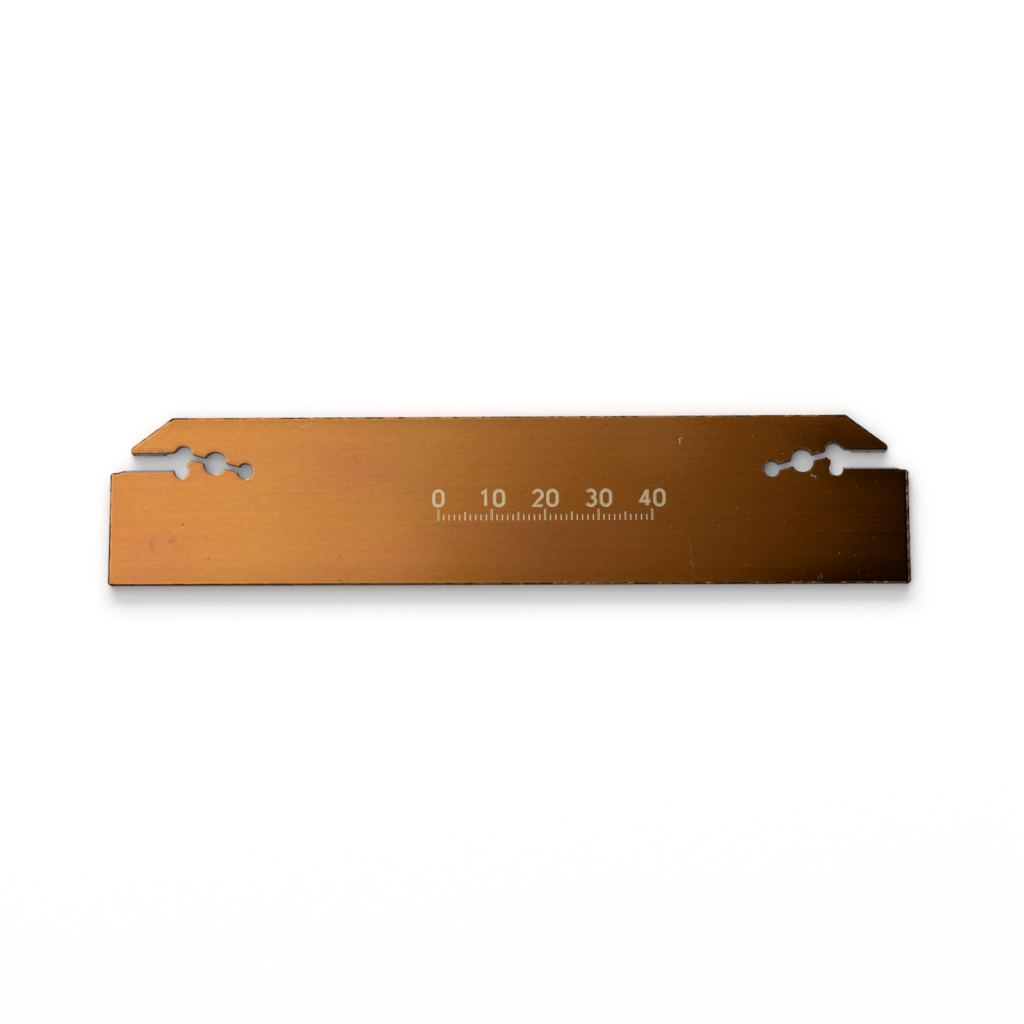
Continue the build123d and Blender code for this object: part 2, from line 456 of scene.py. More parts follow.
# Each mask is a product of ramps: what it depends on, from where to where, and its values there
coatMasks = {
    "patchy": [("patches", 0.35, 0.65, 0.35, 1.00)],
    "rosy": [("lowClouds", 0.42, 0.70, 0.00, 0.80)],
    "relief": [("x", -10.0, 60.0, 1.00, 1.50)],
    # Darker towards the right-hand end: partly the coat's own colour, partly painted shade
    "darkerEnd": [("towardsEnd", 60.0, 78.0, 1.00, 0.57)],
    "marks": [("breaks", 0.40, 0.60, 0.45, 1.00)],
    "ring": [("ringBreaks", 0.42, 0.62, 0.06, 0.42)],
    "speckShare": [("x", -50.0, 60.0, 0.04, 0.46)],
    "specks": [("speckTone", 0.30, 1.00, 0.08, 0.60)],
    # Heat colour, stronger as painted shade on the side of an opening away from the light
    "heatAndShade": [
        ("opening", 0.05, 1.10, 0.75, 0.00),
        ("facing", -0.70, 0.50, 1.00, 0.30),
        ("x", 0.0, 50.0, 1.00, 0.45),
    ],
    # Rims of painted highlight round the openings: where the light falls on them, and patchy glints at the
    # right
    "rim": [("opening", 0.22, 0.38, 1.00, 0.00)],
    "litRim": [("facing", 0.25, 0.80, 0.00, 1.00), ("x", -20.0, 40.0, 1.00, 0.25)],
    "rimGlints": [
        ("patchy", 0.50, 1.00, 0.00, 1.00),
        ("x", 0.0, 40.0, 0.00, 0.50),
        ("x", 61.5, 63.0, 1.00, 0.00),
    ],
    # Chamfers darkened at the right as painted shade
    "chamfer": [("opening", 0.10, 0.18, 0.80, 0.00), ("x", -10.0, 30.0, 0.00, 1.00)],
    # Polished line along the edges, brightened as painted highlight towards the lit left end
    "polishHighlight": [
        ("fromPolishHighlight", 0.08, 0.20, 0.60, 0.00),
        ("x", -10.0, 60.0, 1.00, 0.00),
        ("patchy", 0.35, 0.80, 0.55, 1.30),
        ("y", -15.0, -12.0, 0.35, 1.00),
    ],
    "widerLeft": [("x", -74.0, -73.6, 0.05, 0.00)],     # both in millimetres
    "widerTop": [("y", 15.0, 15.3, 0.00, 0.12)],
    # Dark strip along the outline: partly rougher edge, partly painted shade
    "darkStrip": [("edge", 0.30, 0.42, 1.00, 0.00)],
    "rightJaws": [("x", 59.0, 62.0, 0.00, 1.00), ("y", 3.8, 4.8, 0.00, 1.00)],
    "lowLeft": [("y", 0.0, -8.0, 0.00, 1.00), ("x", -40.0, 30.0, 1.00, 0.00)],
    "gaps": [("dashes", 0.44, 0.52, 0.00, 0.90)],
    "nearFace": [("fromMiddle", 0.30, 0.60, 0.00, 1.00)],
    # Gold glints in the gaps of the dark strip: painted highlight
    "glinting": [("glints", 0.56, 0.64, 0.00, 0.50)],
    # Dark line in from the right-hand end: painted shade where the edge rolls over
    "darkLine": [("fromDarkLine", 0.10, 0.30, 0.90, 0.00)],
    "copper": [("inward", 0.61, 0.71, 1.00, 0.00)],
    "pits": [("ragged", 0.38, 0.64, 0.20, 2.00), ("inward", 0.28, 0.42, 0.45, 1.20)],
}


def maskOf(tree, at, name):
    return product(tree, *(smoothStep(tree, at[field], *steps) for field, *steps in coatMasks[name]))


def surfaceFields(tree):
    # What the masks of the coat depend on, by name, at each point of the surface
    place = millimetres(tree)
    x, y, z = axes(tree, place)
    at = {name: noiseValue(tree, place, **texture) for name, texture in coatTextures.items()}
    at.update({"place": place, "x": x, "y": y, "z": z})
    grain = useGroup(tree, brushedGrain, Place=place, **coatLook["grain"])
    at["lines"], at["streaks"] = grain["Lines"], grain["Streaks"]
    at["patchy"] = maskOf(tree, at, "patchy")
    at["lowClouds"] = slanted(tree, at["clouds"], y, coatLook["rosySlope"])
    towardsEnd = slanted(tree, x, y, coatLook["darkerEndSlope"])
    at["towardsEnd"] = calc(tree, "ADD", towardsEnd, swing(tree, at["clouds"], coatLook["darkerEndUneven"]))
    at["inward"] = calc(tree, "SUBTRACT", plan["halfLength"], x)
    at["fromDarkLine"] = apart(tree, at["inward"], coatLook["darkLineAt"])
    at["fromMiddle"] = apart(tree, z, faceHeight / 2)
    at["opening"] = useGroup(tree, openingReach, Place=place)["Reach"]
    beside = vectorCalc(tree, "ADD", place, coatLook["litStep"])
    further = calc(tree, "SUBTRACT", useGroup(tree, openingReach, Place=beside)["Reach"], at["opening"])
    at["facing"] = calc(tree, "DIVIDE", further, Vector(coatLook["litStep"]).length)
    outline = useGroup(tree, outlineReach, Place=place)["Reach"]
    at["edge"] = calc(tree, "ADD", outline, swing(tree, at["ragged"], coatLook["edgeUneven"]))
    at["fromPolishHighlight"] = apart(tree, at["edge"], coatLook["polishHighlightAt"])
    return at


def coatColour(tree, at):
    # The coat deepens in tone along the blade, partly its own colour and partly painted shade, with rosy
    # patches a few centimetres long
    along = slanted(tree, at["x"], at["y"], coatLook["fadeSlope"])
    along = calc(tree, "POWER", linearStep(tree, along, *coatLook["fade"]), coatLook["fadePower"])
    lightness = 1.0
    flat = vectorCalc(tree, "MULTIPLY", at["place"], (1.0, 1.0, 0.0))
    for middle, radius, lighter, brighter in coatLook["broadPatches"]:
        mask = smoothStep(tree, vectorCalc(tree, "DISTANCE", flat, (*middle, 0.0)), 0.0, radius, 1.0, 0.0)
        along = calc(tree, "SUBTRACT", along, product(tree, mask, brighter), clamp=True)
        lightness = calc(tree, "ADD", product(tree, mask, lighter), lightness)
    colour = mixColour(tree, along, coatLook["bright"], coatLook["deep"])
    rosy = product(tree, maskOf(tree, at, "rosy"), calc(tree, "SUBTRACT", 1.0, along))
    return mixColour(tree, rosy, colour, coatLook["rosy"]), along, lightness


def edgeTone(tree, at):
    # Painted shade towards the edges; the slot darkens the upper jaw sooner than the lower one
    x, y = at["x"], at["y"]
    aside = calc(tree, "ADD", x, calc(tree, "SUBTRACT", y, coatLook["jawsFrom"]))
    reaches = {
        "slot": (at["opening"], aside),
        "lower": (calc(tree, "ADD", y, plan["halfHeight"]), x),
        "upper": (calc(tree, "SUBTRACT", plan["halfHeight"], y), x),
        "end": (at["inward"], x),
    }
    tone = 1.0
    for name, (reach, place) in reaches.items():
        shade = coatLook["edgeShades"][name]
        atEdge = smoothStep(tree, place, *shade["x"], *shade["tones"])
        tone = product(tree, smoothStep(tree, reach, *shade["reach"], atEdge, 1.0), tone)
    return tone


def coatTone(tree, at):
    # Grinding lines under the coat and a fine mottle, and darker towards the right-hand end, partly its own
    # colour and partly painted shade
    relief = 0.0
    for name, contrast in coatLook["contrast"].items():
        relief = calc(tree, "ADD", swing(tree, at[name], contrast), relief)
    relief = product(tree, relief, maskOf(tree, at, "relief"))
    return calc(tree, "ADD", relief, maskOf(tree, at, "darkerEnd"))


def addMarks(tree, at, colour):
    # Gives the colour with the marks of use on it, and where the coat is rubbed rough
    rubbed = 0.0
    bent = shaken(tree, at["place"], **coatLook["bend"])
    broken = maskOf(tree, at, "marks")
    for kind, marks in coatLook["marks"].items():
        for start, stop, width, softness, strength in marks:
            ends = {"From": (*start, faceHeight), "To": (*stop, faceHeight)}
            mask = useGroup(tree, strokeMark, Place=bent, Width=width, Softness=softness, **ends)["Mask"]
            mask = product(tree, mask, broken, strength)
            colour = mixColour(tree, mask, colour, coatLook[kind])
            if kind == "wornAndGlint":
                rubbed = calc(tree, "MAXIMUM", mask, rubbed)
    return colour, rubbed


def addRing(tree, at, colour):
    # A faint stain in the shape of a ring, on the upper side only
    ring = useGroup(tree, ringMark, Place=at["place"], **coatLook["ring"])["Mask"]
    above = calc(tree, "GREATER_THAN", at["z"], faceHeight / 2)
    return mixColour(tree, product(tree, ring, maskOf(tree, at, "ring"), above), colour, coatLook["stain"])


def addSpecks(tree, at, colour):
    # Pale specks that scatter light, more of them towards the right, and a few dark ones
    share = maskOf(tree, at, "speckShare")
    pale = useGroup(tree, specks, Place=at["place"], Share=share, **coatLook["paleSpecks"])
    at["speckTone"] = pale["Tone"]
    bright = product(tree, pale["Mask"], maskOf(tree, at, "specks"))
    colour = mixColour(tree, bright, colour, coatLook["gold"])
    moved = vectorCalc(tree, "ADD", at["place"], coatLook["darkSpecksMoved"])
    dark = useGroup(tree, specks, Place=moved, **coatLook["darkSpecks"])["Mask"]
    dark = product(tree, dark, coatLook["darkSpecksStrength"])
    return mixColour(tree, dark, colour, coatLook["darkAndShade"]), bright


def addHeat(tree, at, darkAndShade, colour):
    # Heat colour round the openings, and a rim of painted highlight where they lie to the left
    # The heat colour is partly painted shade, deeper on the side away from the light
    heatAndShade = product(tree, maskOf(tree, at, "heatAndShade"), at["patchy"])
    colour = mixColour(tree, heatAndShade, colour, coatLook["heatAndShade"])
    # The gold rim is painted highlight: lit where it faces the light, in patchy glints at the right
    rubbed = calc(tree, "MAXIMUM", maskOf(tree, at, "litRim"), maskOf(tree, at, "rimGlints"))
    rim = product(tree, maskOf(tree, at, "rim"), rubbed)
    colour = mixColour(tree, rim, colour, coatLook["gold"])
    # The dark chamfer is painted shade
    return mixColour(tree, maskOf(tree, at, "chamfer"), colour, darkAndShade), rim


def addOutline(tree, at, along, darkAndShade, colour):
    # Along the outer edges a polished line brightened as painted highlight, outside it a dark strip that is
    # partly painted shade
    colour = mixColour(tree, maskOf(tree, at, "polishHighlight"), colour, coatLook["gold"])
    for name in ("widerLeft", "widerTop"):
        at["edge"] = calc(tree, "SUBTRACT", at["edge"], maskOf(tree, at, name))
    inner = maskOf(tree, at, "darkStrip")
    jaws = maskOf(tree, at, "rightJaws")
    at["edge"] = calc(tree, "SUBTRACT", at["edge"], product(tree, jaws, coatLook["widerJaws"]))
    strip = maskOf(tree, at, "darkStrip")
    colour = mixColour(tree, strip, colour, darkAndShade)

    # Its gaps are sharp on the faces, and an even share of it on the long sides
    closed = product(tree, calc(tree, "MAXIMUM", maskOf(tree, at, "lowLeft"), jaws), coatLook["closed"])
    gaps = product(tree, maskOf(tree, at, "gaps"), calc(tree, "SUBTRACT", 1.0, closed))
    nearFace = maskOf(tree, at, "nearFace")
    gaps = mixValue(tree, nearFace, coatLook["sideGaps"], gaps)
    tint = mixColour(tree, along, coatLook["gapLeft"], coatLook["gapRight"])
    # Gold glints near the face: painted highlight
    tint = mixColour(tree, product(tree, maskOf(tree, at, "glinting"), nearFace), tint, coatLook["gold"])
    return mixColour(tree, product(tree, inner, gaps), colour, tint), strip


def addRightEnd(tree, at, darkAndShade, colour):
    # The right-hand end is rough and copper-coloured, with a dark line of painted shade inside it
    atEnd = product(tree, calc(tree, "LESS_THAN", at["inward"], plan["endStrip"]),
                    calc(tree, "LESS_THAN", at["y"], plan["endTop"]))
    colour = mixColour(tree, product(tree, maskOf(tree, at, "darkLine"), atEnd), colour, darkAndShade)
    copper = product(tree, maskOf(tree, at, "copper"), atEnd)
    pitted = scaled(tree, coatLook["copper"][:3], maskOf(tree, at, "pits"))
    return mixColour(tree, copper, colour, pitted), copper


def makeBronzeCoat():
    material, tree, socket = emptyMaterial("bronzeCoat")
    at = surfaceFields(tree)
    colour, along, lightness = coatColour(tree, at)
    tone = product(tree, coatTone(tree, at), product(tree, lightness, edgeTone(tree, at)))
    colour, rubbed = addMarks(tree, at, scaled(tree, colour, tone))
    colour, specked = addSpecks(tree, at, addRing(tree, at, colour))
    # Dark colour of the specks, and painted shade on the strip, chamfers and end line
    darkAndShade = mixColour(tree, along, coatLook["darkAndShade"], coatLook["darkAndShadeDeep"])
    colour, rim = addHeat(tree, at, darkAndShade, colour)
    colour, strip = addOutline(tree, at, along, darkAndShade, colour)
    colour, copper = addRightEnd(tree, at, darkAndShade, colour)

    rough = coatLook["roughness"]
    coarse = calc(tree, "MAXIMUM", strip, copper)
    scattering = calc(tree, "MAXIMUM", calc(tree, "MAXIMUM", rubbed, specked), rim)
    for mask, more in ((at["streaks"], "roughStreaks"), (coarse, "roughCoarse"), (scattering, "roughRubbed")):
        rough = calc(tree, "ADD", rough, product(tree, mask, coatLook[more]))
    feedAll(tree, socket, {
        "Base Color": colour,
        "Metallic": calc(tree, "SUBTRACT", 1.0, product(tree, strip, coatLook["stripDullness"])),
        "Roughness": rough,
        "Specular Tint": coatLook["grazing"],
        "Specular IOR Level": 0.0,
        "Anisotropic": coatLook["anisotropy"],
        "Tangent": addNode(tree, "ShaderNodeCombineXYZ", Y=1.0).outputs[0],
    })
    return material


# Bare steel of the ground rails

railLook = {
    "steel": (0.360, 0.352, 0.332, 1.0),
    # Dark of the pits, and of the painted shade on the rails
    "pitAndShade": (0.050, 0.045, 0.040, 1.0),
    "grain": {"Length": 3.0, "Width": 0.12, "Waviness": 0.2},
    "tone": (0.72, 0.50),        # between the grinding lines, and how much is added on them
    "upperShare": 0.95,          # the upper rail is darker, as painted shade
    "pits": {"scale": 1.0, "detail": 3.0, "stretch": (0.7, 1.2, 1.2)},
    "pitStrength": (0.56, 0.62, 0.0, 0.85),
    "darkRim": (0.55, 0.80),     # painted shade: from where to where it darkens towards the sides of the blade
    "upperRim": (0.50, 0.78),
    "roughness": 0.50,
}


def makeRailSteel():
    material, tree, socket = emptyMaterial("railSteel")
    place = millimetres(tree)
    x, y, z = axes(tree, place)
    grain = useGroup(tree, brushedGrain, Place=place, **railLook["grain"])
    plain, added = railLook["tone"]
    tone = calc(tree, "ADD", plain, product(tree, grain["Lines"], added))
    above = calc(tree, "GREATER_THAN", y, slotMiddle)
    # The upper rail is darkened as painted shade
    tone = product(tree, tone, mixValue(tree, above, 1.0, railLook["upperShare"]))
    colour = scaled(tree, railLook["steel"][:3], tone)
    pits = smoothStep(tree, noiseValue(tree, place, **railLook["pits"]), *railLook["pitStrength"])
    colour = mixColour(tree, pits, colour, railLook["pitAndShade"])
    # Painted shade: the rails darken towards the sides of the blade, the upper one sooner
    fromMiddle = apart(tree, z, faceHeight / 2)
    rim = smoothStep(tree, fromMiddle, *railLook["darkRim"])
    upper = product(tree, above, smoothStep(tree, fromMiddle, *railLook["upperRim"]))
    colour = mixColour(tree, calc(tree, "MAXIMUM", rim, upper), colour, railLook["pitAndShade"])
    feedAll(tree, socket, {"Base Color": colour, "Metallic": 1.0, "Roughness": railLook["roughness"]})
    return material


# Cut walls of the openings, dark as painted shade in the hollows

wallLook = {
    "dark": (0.050, 0.048, 0.046, 1.0),
    "lighter": (0.110, 0.105, 0.100, 1.0),
    "patches": {"scale": 1.3, "detail": 4.0, "roughness": 0.6},
    "patchStrength": (0.42, 0.66),
    "roughness": 0.62,
}


def makeCutWall():
    material, tree, socket = emptyMaterial("cutWall")
    patches = noiseValue(tree, millimetres(tree), **wallLook["patches"])
    mask = smoothStep(tree, patches, *wallLook["patchStrength"])
    colour = mixColour(tree, mask, wallLook["dark"], wallLook["lighter"])
    feedAll(tree, socket, {"Base Color": colour, "Roughness": wallLook["roughness"]})
    return material


# Engraved scale

scaleLook = {
    "cream": (0.723, 0.567, 0.330, 1.0),
    "shaded": (0.230, 0.165, 0.080, 1.0),     # thin line inside each stroke
    "uneven": {"scale": 2.2, "detail": 4.0, "roughness": 0.7},
    "toneByTexture": (0.30, 0.70, 0.84, 1.08),
    "toneByX": (-20.0, 35.0, 1.00, 0.68),     # it gets duller along the blade
    "roughness": 0.60,
}


def makeScaleFinish(name, colour):
    material, tree, socket = emptyMaterial(name)
    place = millimetres(tree)
    x, y, z = axes(tree, place)
    uneven = noiseValue(tree, place, **scaleLook["uneven"])
    tone = product(tree, smoothStep(tree, uneven, *scaleLook["toneByTexture"]),
                   smoothStep(tree, x, *scaleLook["toneByX"]))
    colour = scaled(tree, colour[:3], tone)
    feedAll(tree, socket, {"Base Color": colour, "Roughness": scaleLook["roughness"]})
    return material


# Body of the blade

bladeLook = {
    "weld": 0.0001,          # points nearer than this become one
    "sharpAngle": 28.0,      # in degrees, from where an edge looks sharp
    "margin": 0.8,           # width of the strip along the outline that shows wear
    "slack": 0.01,           # for picking what reaches just to the border of that strip
    "touch": 0.0002,         # points nearer than this to a cut lie on it
    "fade": 0.8,             # length over which the wear fades at the ends of a stretch
}


def bladeBody():
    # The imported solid, welded, on which the finer work is done
    solid = bmesh.new()
    solid.from_mesh(frame["nodes"]["blade"].data)
    bmesh.ops.remove_doubles(solid, verts=solid.verts, dist=bladeLook["weld"] * mm)
    solid.verts.index_update()
    points = [v.co[:] for v in solid.verts]
    faces = [[v.index for v in face.verts] for face in solid.faces]
    solid.free()
    mesh = bpy.data.meshes.new("blade_body")
    mesh.from_pydata(points, [], faces)
    return addObject("blade_body", mesh)


engraving = {
    "first": -13.0,          # x of the nought
    "length": 40,
    "low": -3.9,             # y of the feet of the ticks
    "foot": -1.15,           # y of the feet of the figures
    "figure": 2.9,           # height of the figures, along the middle of their strokes
    "figureWidth": 0.6,      # as a share of that
    "stroke": 0.58,
    "gap": 1.0,              # between two figures of a number
    "ticks": {10: (2.1, 0.36), 5: (1.6, 0.28), 1: (1.1, 0.20)},   # length and width by step
    "depth": 0.02,           # of the first cut
    "deeper": 0.006,         # each further cut
    # Finish and inset of the cuts, one in another
    "cuts": [("cream", 0.0), ("shaded", 0.10), ("cream", 0.19)],
    "turns": 2,              # strokes of a figure that cross are cut one after the other
    "least": 0.05,           # width of the thinnest stroke that is cut
    "toolTop": 0.4,          # how far the cutting tools stand out of the face
    "joined": 0.01,          # strokes whose ends lie nearer than this are closed rings
    "sharpest": 0.6,         # holds the corners of a stroke back
}


def arc(centre, radius, start, end):
    # Points of an arc from one angle to another, in degrees
    count = 16
    points = []
    for k in range(count + 1):
        angle = math.radians(start + (end - start) * k / count)
        x, y = centre[0] + radius[0] * math.cos(angle), centre[1] + radius[1] * math.sin(angle)
        points.append(Vector((x, y)))
    return points


def line(*points):
    return [Vector(point) for point in points]


# Middle lines of the strokes of each figure, one unit high
figureStrokes = {
    "0": [
        arc((0.30, 0.70), (0.30, 0.30), 180, 0)
        + arc((0.30, 0.30), (0.30, 0.30), 0, -180)
        + line((0.0, 0.70)),
    ],
    "1": [line((0.12, 0.80), (0.38, 1.0), (0.38, 0.0))],
    "2": [arc((0.30, 0.71), (0.29, 0.29), 165, -30) + line((0.03, 0.0), (0.62, 0.0))],
    "3": [arc((0.28, 0.76), (0.26, 0.24), 150, -90), arc((0.28, 0.27), (0.30, 0.27), 90, -150)],
    "4": [line((0.66, 0.27), (0.03, 0.27), (0.44, 1.0)), line((0.46, 1.02), (0.46, 0.0))],
}


def addStroke(tool, points, half, inset, floor, top):
    # A ribbon of even width along the points, as a closed body
    closed = (points[0] - points[-1]).length < engraving["joined"]
    points = points[:-1] if closed else points[:]
    if not closed:
        points[0] = points[0] + (points[1] - points[0]).normalized() * inset
        points[-1] = points[-1] + (points[-2] - points[-1]).normalized() * inset
    count = len(points)
    rows = []
    for k, point in enumerate(points):
        before = points[k - 1] if k or closed else None
        after = points[(k + 1) % count] if k < count - 1 or closed else None
        ways = [(b - a).normalized() for a, b in ((before, point), (point, after)) if a and b]
        way = sum(ways, Vector((0, 0))).normalized()
        across = Vector((-way.y, way.x)) * (half - inset) / max(engraving["sharpest"], way.dot(ways[0]))
        corners = ((across, floor), (-across, floor), (-across, top), (across, top))
        rows.append([tool.verts.new((*(point + aside), height)) for aside, height in corners])
    pairs = list(zip(rows, rows[1:] + rows[:1]))
    for here, there in pairs if closed else pairs[:-1]:
        for k in range(4):
            tool.faces.new((here[k], there[k], there[(k + 1) % 4], here[(k + 1) % 4]))
    if not closed:
        tool.faces.new(rows[0])
        tool.faces.new(reversed(rows[-1]))


def scaleStrokes():
    # All strokes of the scale, each with its width and the turn in which it is cut
    strokes = []
    figureWidth = engraving["figureWidth"] * engraving["figure"]
    pitch = figureWidth + engraving["gap"]
    for tens in range(0, engraving["length"] + 1, 10):
        number = str(tens)
        for k, figure in enumerate(number):
            middle = engraving["first"] + tens + (k - (len(number) - 1) / 2) * pitch
            corner = Vector((middle - figureWidth / 2, engraving["foot"]))
            for turn, stroke in enumerate(figureStrokes[figure]):
                points = [corner + point * engraving["figure"] for point in stroke]
                strokes.append((points, engraving["stroke"], turn))
    for step in range(engraving["length"] + 1):
        kind = next(k for k in engraving["ticks"] if step % k == 0)
        length, width = engraving["ticks"][kind]
        foot = Vector((engraving["first"] + step, engraving["low"]))
        strokes.append(([foot, foot + Vector((0.0, length))], width, 0))
    return strokes


def cutOut(body, mesh):
    # Takes the mesh out of the body, and its finish stays on the new faces
    cutter = addObject("engravingTool", mesh)
    cut = body.modifiers.new("engraving", "BOOLEAN")
    cut.operation = "DIFFERENCE"
    cut.solver = "EXACT"
    cut.use_hole_tolerant = True
    cut.material_mode = "TRANSFER"
    cut.object = cutter
    bpy.context.view_layer.update()
    result = bpy.data.meshes.new_from_object(body.evaluated_get(bpy.context.evaluated_depsgraph_get()))
    body.modifiers.remove(cut)
    old = body.data
    body.data = result
    bpy.data.meshes.remove(old)
    bpy.data.objects.remove(cutter)


def engrave(body, turn, inset, floor, finish):
    # The strokes of one turn, narrowed by the inset, are cut down to the floor
    tool = bmesh.new()
    for points, width, given in scaleStrokes():
        if given == turn and width > 2 * inset + engraving["least"]:
            addStroke(tool, points, width / 2, inset, floor, faceHeight + engraving["toolTop"])
    bmesh.ops.scale(tool, vec=(mm, mm, mm), verts=tool.verts)
    mesh = bpy.data.meshes.new("engravingTool")
    tool.to_mesh(mesh)
    tool.free()
    mesh.materials.append(finish)
    cutOut(body, mesh)
    bpy.data.meshes.remove(mesh)


# Wear along each stretch of the outline, in millimetres: half its length and the spacing of the cuts
# across it, depth and length of the waves, and depth, length and rarity of the nicks
edgeWear = {
    "top": {"stretch": (61.0, 0.35), "wave": (0.03, 3.0), "nick": (0.30, 0.8, 0.42), "seed": 3.0},
    "bottom": {"stretch": (73.5, 0.35), "wave": (0.02, 4.0), "nick": (0.16, 0.8, 0.45), "seed": 11.0},
    "left": {"stretch": (10.2, 0.25), "wave": (0.07, 1.3), "nick": (0.25, 0.7, 0.40), "seed": 17.0},
    "right": {"stretch": (10.2, 0.25), "wave": (0.14, 1.5), "nick": (0.20, 0.8, 0.40), "seed": 23.0},
    "slant": {"stretch": (5.0, 0.35), "wave": (0.04, 2.0), "nick": (0.20, 0.8, 0.42), "seed": 31.0},
}
endMiddle = -5.3             # y of the middle of the stretch at each end
slantMiddle = 5.8            # from the top of the slant to the middle of its stretch
throughBlade = (0.25, 0.6)   # how fast waves and nicks change through the thickness
nickSeed = 5.0               # added to the seed, so that nicks and waves differ


def stretches():
    # Each straight stretch of the outline: name, a point in its middle, and the way inwards
    halfLength, halfHeight = plan["halfLength"], plan["halfHeight"]
    inward = Vector(plan["slantInward"])
    slant = Vector(plan["slantTop"]) + slantMiddle * Vector((-inward.y, inward.x))
    over = Vector((-1, 1))
    return [
        ("top", Vector((0, halfHeight)), Vector((0, -1))),
        ("bottom", Vector((0, -halfHeight)), Vector((0, 1))),
        ("left", Vector((-halfLength, endMiddle)), Vector((1, 0))),
        ("right", Vector((halfLength, endMiddle)), Vector((-1, 0))),
        ("slant", slant, inward),
        ("slant", over * slant, over * inward),
    ]


def runAlong(inward):
    return Vector((inward.y, -inward.x))


def fromStretch(place, point, inward):
    # How far inwards a place lies, and how far along from the middle of the stretch
    off = place.xy / mm - point
    return off.dot(inward), off.dot(runAlong(inward))


def partsOf(faces):
    parts = set(faces)
    for face in faces:
        parts.update(face.edges)
        parts.update(face.verts)
    return list(parts)


def cutAcross(solid, parts, point, normal):
    found = bmesh.ops.bisect_plane(solid, geom=parts, dist=bladeLook["touch"] * mm,
                                   plane_co=(*(point * mm), 0.0), plane_no=(*normal, 0.0))
    return found["geom"]


def divideStretch(solid, name, point, inward):
    # The strip is cut off at its inner border and its ends, then across in even steps
    half, step = edgeWear[name]["stretch"]
    run = runAlong(inward)
    margin = bladeLook["margin"]
    border = margin + bladeLook["slack"]

    def within(place, depth):
        reach, along = fromStretch(place, point, inward)
        return reach < depth and abs(along) < half

    near = [f for f in solid.faces if any(within(v.co, border) for v in f.verts)]
    cutAcross(solid, partsOf(near), point + inward * margin, inward)
    for end in (-half, half):
        near = [f for f in solid.faces if all(fromStretch(v.co, point, inward)[0] < border for v in f.verts)]
        cutAcross(solid, partsOf(near), point + run * end, run)
    parts = partsOf([f for f in solid.faces if within(f.calc_center_median(), margin)])
    count = int(2 * half / step)
    for k in range(1, count):
        parts = cutAcross(solid, parts, point + run * (-half + 2 * half * k / count), run)
    print("edge", name, "divided into", count, "points now", len(solid.verts))


def wearStretch(solid, name, point, inward):
    # The points of the strip are pushed in, less towards its inner border and its ends
    look = edgeWear[name]
    half, margin = look["stretch"][0], bladeLook["margin"]
    waveDepth, waveLength = look["wave"]
    nickDepth, nickLength, rarity = look["nick"]
    waveRise, nickRise = throughBlade
    for v in solid.verts:
        reach, along = fromStretch(v.co, point, inward)
        if reach > margin or abs(along) > half:
            continue
        height = v.co.z / mm
        wave = noise.noise(Vector((along / waveLength, look["seed"], height * waveRise)))
        nick = noise.noise(Vector((along / nickLength, look["seed"] + nickSeed, height * nickRise)))
        push = waveDepth * (0.5 + 0.5 * wave) + nickDepth * max(0.0, nick - rarity)
        fade = min(1.0, (half - abs(along)) / bladeLook["fade"]) * max(0.0, 1.0 - reach / margin)
        v.co.xy += inward * push * fade * mm


def wearOutline(body):
    solid = bmesh.new()
    solid.from_mesh(body.data)
    for name, point, inward in stretches():
        divideStretch(solid, name, point, inward)
        wearStretch(solid, name, point, inward)
    solid.to_mesh(body.data)
    solid.free()


# Which faces are in the openings: by the places of their middles, and by how their normals stand
openingFaces = {
    "slotFrom": plan["stop"] - 2.0,
    "slotHeight": (plan["seat"] - 0.2, plan["roof"] + 0.2),
    "holesAlong": (47.5, 64.0),
    "holesHeight": (3.5, 11.0),
    "jawEndFrom": 74.0,      # beyond it, faces that look along X are the end of the lower jaw
    "lengthwise": 0.90,
    "railTilt": (0.30, 0.70),
    "railTurn": 0.50,
    "wallTilt": 0.40,
}


def between(value, limits):
    return limits[0] < value < limits[1]


def finishOpenings(body, coat, rail, wall):
    # Faces inside the openings are bare: the tilted flanks of the rails ground, the rest as cut
    where = openingFaces
    body.data.materials.append(rail)
    body.data.materials.append(wall)
    numbers = {finish.name: i for i, finish in enumerate(body.data.materials)}
    for face in body.data.polygons:
        x, y = abs(face.center.x) / mm, face.center.y / mm
        turn, tilt = abs(face.normal.x), abs(face.normal.z)
        inSlot = x > where["slotFrom"] and between(y, where["slotHeight"])
        inHoles = between(x, where["holesAlong"]) and between(y, where["holesHeight"])
        jawEnd = x > where["jawEndFrom"] and turn > where["lengthwise"]
        if face.material_index != numbers[coat.name] or jawEnd or not (inSlot or inHoles):
            continue
        if inSlot and between(tilt, where["railTilt"]) and turn < where["railTurn"]:
            face.material_index = numbers[rail.name]
        elif tilt < where["wallTilt"]:
            face.material_index = numbers[wall.name]


coat = makeBronzeCoat()
body = bladeBody()
body.data.materials.append(coat)
scaleFinishes = {tone: makeScaleFinish(tone + "Stroke", scaleLook[tone]) for tone in ("cream", "shaded")}
for level, (tone, inset) in enumerate(engraving["cuts"]):
    floor = faceHeight - engraving["depth"] - engraving["deeper"] * level
    for turn in range(engraving["turns"]):
        engrave(body, turn, inset, floor, scaleFinishes[tone])
print("scale engraved,", len(body.data.polygons), "faces")
wearOutline(body)
finishOpenings(body, coat, makeRailSteel(), makeCutWall())
body.data.shade_smooth()
body.data.set_sharp_from_angle(angle=math.radians(bladeLook["sharpAngle"]))
even = body.modifiers.new("evenShading", "WEIGHTED_NORMAL")
even.keep_sharp = True
even.weight = 100
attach(body, "root")
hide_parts("blade")
print("blade dressed:", len(body.data.vertices), "points")


# Floor, light and camera

floorLook = {
    "side": 6.0,             # in metres
    "gap": 0.01,             # below the blade, in millimetres
    "touching": 0.1,         # length of the rays that it lets through
    "colour": (0.93, 0.93, 0.93, 1.0),
    "roughness": 0.9,
    "shine": 0.2,
}

